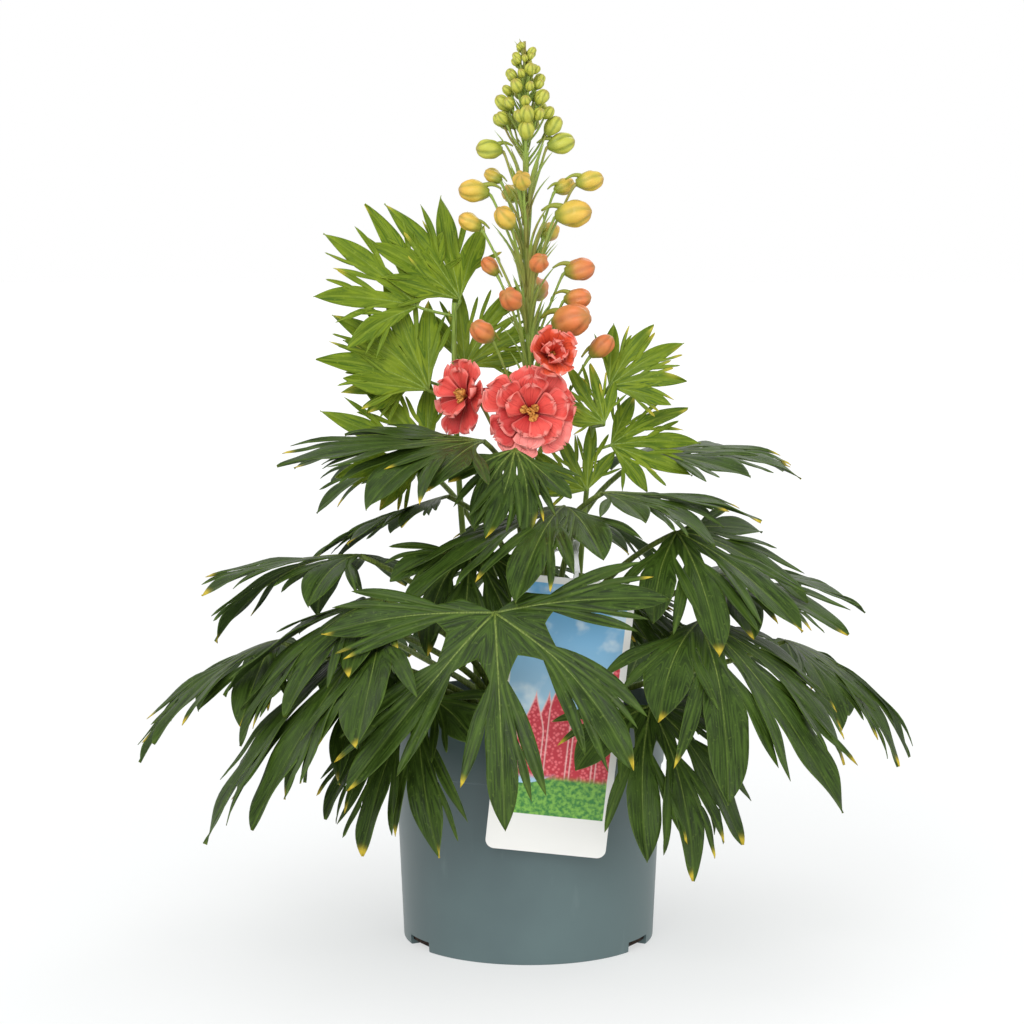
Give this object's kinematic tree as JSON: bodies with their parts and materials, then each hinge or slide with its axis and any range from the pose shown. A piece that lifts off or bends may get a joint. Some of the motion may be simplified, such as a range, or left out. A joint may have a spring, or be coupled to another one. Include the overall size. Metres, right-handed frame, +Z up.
{
  "type": "delphinium plant",
  "caption": "Delphinium in a round nursery pot: arched palmate leaves, leafy side shoots, an upright raceme of buds with open coral blooms and a hanging plant label.",
  "frame": {"origin": "centre of the pot's underside, on the surface that it stands on", "axes": "+Z up along the pot's axis, -Y towards the front, where the label hangs, +X to the front's right"},
  "size_m": [0.5398, 0.4639, 0.617],
  "materials": {
    "pot_plastic": "matt grey-blue moulded plastic",
    "potting_soil": "dark crumbly potting soil",
    "grown_leaf": "deep green with a soft waxy sheen, some tips yellowed",
    "young_leaf": "fresh yellow-green, satin",
    "raceme_green": "green stem and stalks, buds from green and yellow to orange",
    "petal": "soft coral pink petals with darker bases and a golden eye",
    "label_card": "white card-like plastic with a printed picture field",
    "tie_plastic": "white flexible plastic strap"
  },
  "bodies": {
    "root": {"pot": "pot_plastic", "potting_soil": "potting_soil", "leaf_front_1": "grown_leaf", "leaf_front_2": "grown_leaf", "leaf_front_3": "grown_leaf", "leaf_front_4": "grown_leaf", "leaf_front_5": "grown_leaf", "leaf_front_6": "grown_leaf", "leaf_right_1": "grown_leaf", "leaf_right_2": "grown_leaf", "leaf_right_3": "grown_leaf", "leaf_right_4": "grown_leaf", "leaf_right_5": "grown_leaf", "leaf_right_6": "grown_leaf", "leaf_right_7": "grown_leaf", "leaf_right_8": "grown_leaf", "leaf_left_1": "grown_leaf", "leaf_left_2": "grown_leaf", "leaf_left_3": "grown_leaf", "leaf_left_4": "grown_leaf", "leaf_left_5": "grown_leaf", "leaf_left_6": "grown_leaf", "leaf_back_1": "grown_leaf", "leaf_back_2": "grown_leaf", "leaf_back_3": "grown_leaf", "leaf_back_4": "grown_leaf", "leaf_back_5": "grown_leaf", "shoot_left": "young_leaf", "shoot_right": "young_leaf", "raceme": "raceme_green", "bloom_front": "petal", "bloom_left": "petal", "bloom_opening": "petal", "plant_label": "label_card", "label_tie": "tie_plastic"}
  },
  "joints": []
}
